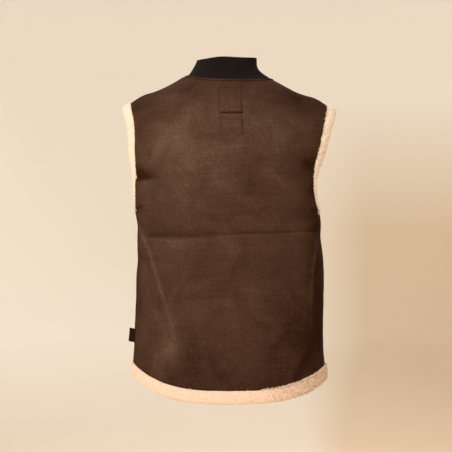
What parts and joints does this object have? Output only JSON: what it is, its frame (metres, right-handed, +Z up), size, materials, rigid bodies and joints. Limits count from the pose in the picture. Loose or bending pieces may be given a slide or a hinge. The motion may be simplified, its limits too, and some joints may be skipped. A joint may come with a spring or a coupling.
{
  "type": "suede gilet",
  "caption": "Sleeveless suede gilet, filled out as worn, with a black rib-knit stand collar, cream fleece edges at the armholes and curved hem, a front zip and a small maroon side tab",
  "frame": {"origin": "middle of the base of the neck, midway between the two shoulder seams' inner ends", "axes": "+Z up the body, front faces -Y, +X to the wearer's left"},
  "size_m": [0.4675, 0.2479, 0.7391],
  "materials": {
    "suede": "brushed, matte nap with worn lighter patches",
    "fleece": "curly sherpa pile, cream",
    "rib_knit": "fine ribbed knit, matte black",
    "tab_cloth": "folded woven tab, maroon, blank",
    "zip_tape": "woven tape, matte dark brown",
    "zip_metal": "antique brass, satin"
  },
  "bodies": {
    "gilet": {"back_panel": "suede", "front_left": "suede", "front_right": "suede", "hem_band_back": "fleece", "hem_band_front_left": "fleece", "hem_band_front_right": "fleece", "armhole_band_left": "fleece", "armhole_band_right": "fleece", "collar": "rib_knit", "side_tab": "tab_cloth", "zip_tape_left": "zip_tape", "zip_tape_right": "zip_tape", "zip_teeth_left": "zip_metal", "zip_teeth_right": "zip_metal", "zip_slider": "zip_metal"},
    "zip_pull": {"zip_pull": "zip_metal"}
  },
  "joints": [
    {"name": "pull_hinge", "type": "hinge", "parent": "gilet", "child": "zip_pull", "pos_m": [0, -0.10996, -0.08377], "axis": [-1, 0, 0], "range_deg": [0, 150]}
  ]
}
